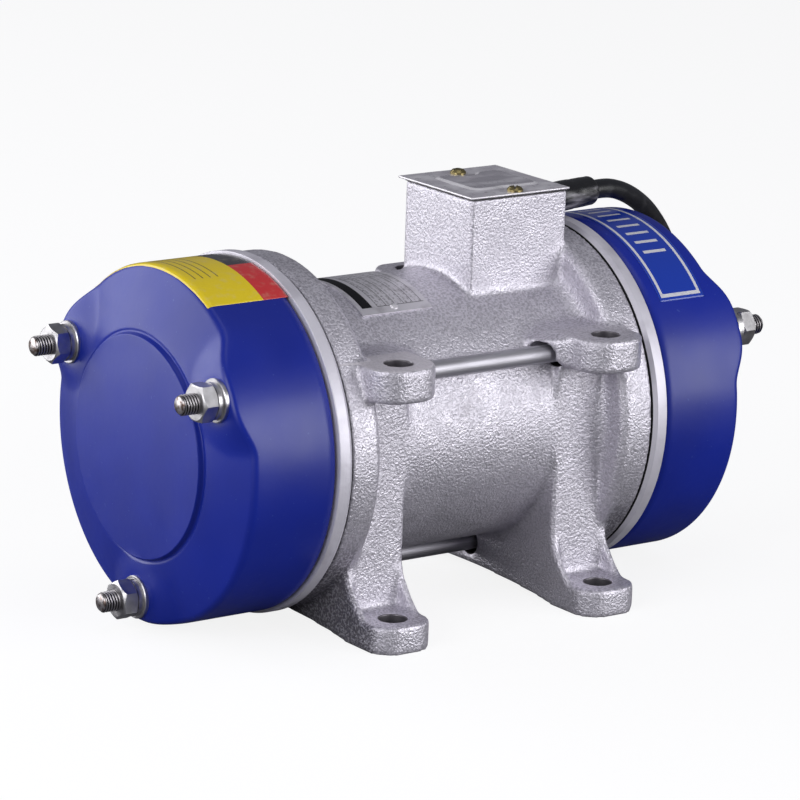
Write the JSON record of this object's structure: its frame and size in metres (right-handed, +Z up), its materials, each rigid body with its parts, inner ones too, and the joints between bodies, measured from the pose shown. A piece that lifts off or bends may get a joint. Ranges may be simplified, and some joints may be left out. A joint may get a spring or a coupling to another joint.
{
  "type": "vibration motor",
  "caption": "External vibration motor: cast motor on four feet, with eccentric weights under pressed end caps, a terminal box and a supply cable.",
  "frame": {"origin": "centre of the four feet's underside, midway along the shaft", "axes": "+X along the shaft towards the terminal box end, +Z up from the feet"},
  "size_m": [0.3835, 0.3632, 0.2027],
  "materials": {
    "cast_silver": "silver-painted sand casting",
    "shield_silver": "silver-painted, turned",
    "cap_blue": "gloss enamel",
    "zinc_steel": "bright zinc",
    "rod_steel": "bright drawn, dark cut thread",
    "shaft_steel": "ground",
    "core_steel": "stacked laminations",
    "copper_winding": "varnished copper wire",
    "cage_aluminium": "cast",
    "bearing_steel": "polished",
    "ball_cage_steel": "pressed",
    "weight_iron": "machined, oiled",
    "black_rubber": "moulded, matt",
    "cable_jacket": "smooth, satin",
    "cover_grey": "worn grey paint",
    "gasket_rubber": "cut sheet",
    "yellow_zinc": "yellow zinc",
    "terminal_plastic": "moulded",
    "terminal_brass": "bright",
    "core_insulation": "coloured insulation",
    "lead_insulation": "varnished sleeving",
    "plate_aluminium": "plain plate",
    "label_print": "printed film",
    "label_blue": "printed film"
  },
  "bodies": {
    "motor": {"stator_housing": "cast_silver", "right_end_shield": "shield_silver", "left_end_shield": "shield_silver", "right_shaft_seal": "black_rubber", "left_shaft_seal": "black_rubber", "right_bearing_cover": "shield_silver", "left_bearing_cover": "shield_silver", "bearing_cover_screws": "zinc_steel", "right_cap": "cap_blue", "left_cap": "cap_blue", "tie_rods": "rod_steel", "tie_rod_nuts": "zinc_steel", "spring_washers": "zinc_steel", "flat_washers": "zinc_steel", "stator_core": "core_steel", "stator_winding": "copper_winding", "right_bearing_outer_ring": "bearing_steel", "left_bearing_outer_ring": "bearing_steel", "terminal_box_cover": "cover_grey", "cover_gasket": "gasket_rubber", "cover_screws": "yellow_zinc", "terminal_block": "terminal_plastic", "terminal_studs": "terminal_brass", "terminal_nuts": "terminal_brass", "earth_screw": "terminal_brass", "cable_sleeve": "black_rubber", "cable_inner_end": "cable_jacket", "supply_cores": "core_insulation", "stator_leads": "lead_insulation", "nameplate": "plate_aluminium", "nameplate_rivets": "plate_aluminium", "left_cap_label": "label_print", "right_cap_label": "label_blue", "power_cable": "cable_jacket", "cable_coil": "cable_jacket", "cable_end_cores": "core_insulation"},
    "rotor": {"rotor_shaft": "shaft_steel", "rotor_core": "core_steel", "rotor_cage": "cage_aluminium", "right_bearing_inner_ring": "bearing_steel", "left_bearing_inner_ring": "bearing_steel", "right_spacer_sleeve": "shaft_steel", "left_spacer_sleeve": "shaft_steel", "right_inner_weight": "weight_iron", "left_inner_weight": "weight_iron", "right_weight_key": "shaft_steel", "left_weight_key": "shaft_steel", "right_lock_washer": "zinc_steel", "left_lock_washer": "zinc_steel", "right_shaft_nut": "zinc_steel", "left_shaft_nut": "zinc_steel"},
    "right_ball_set": {"right_bearing_balls": "bearing_steel", "right_ball_cage": "ball_cage_steel"},
    "left_ball_set": {"left_bearing_balls": "bearing_steel", "left_ball_cage": "ball_cage_steel"},
    "right_adjustable_weight": {"right_outer_weight": "weight_iron", "right_clamp_screw": "zinc_steel"},
    "left_adjustable_weight": {"left_outer_weight": "weight_iron", "left_clamp_screw": "zinc_steel"}
  },
  "joints": [
    {"name": "rotor_spin", "type": "hinge", "parent": "motor", "child": "rotor", "pos_m": [0, 0, 0.09], "axis": [1, 0, 0], "continuous": true},
    {"name": "right_ball_spin", "type": "hinge", "parent": "motor", "child": "right_ball_set", "pos_m": [0.0855, 0, 0.09], "axis": [1, 0, 0], "continuous": true},
    {"name": "left_ball_spin", "type": "hinge", "parent": "motor", "child": "left_ball_set", "pos_m": [-0.0855, 0, 0.09], "axis": [1, 0, 0], "continuous": true},
    {"name": "right_weight_turn", "type": "hinge", "parent": "rotor", "child": "right_adjustable_weight", "pos_m": [0.128, 0, 0.09], "axis": [1, 0, 0], "range_deg": [0, 180]},
    {"name": "left_weight_turn", "type": "hinge", "parent": "rotor", "child": "left_adjustable_weight", "pos_m": [-0.128, 0, 0.09], "axis": [1, 0, 0], "range_deg": [0, 180]}
  ],
  "couplings": [
    {"joint": "right_ball_spin", "follows": "rotor_spin", "ratio": 0.36897},
    {"joint": "left_ball_spin", "follows": "rotor_spin", "ratio": 0.36897}
  ]
}
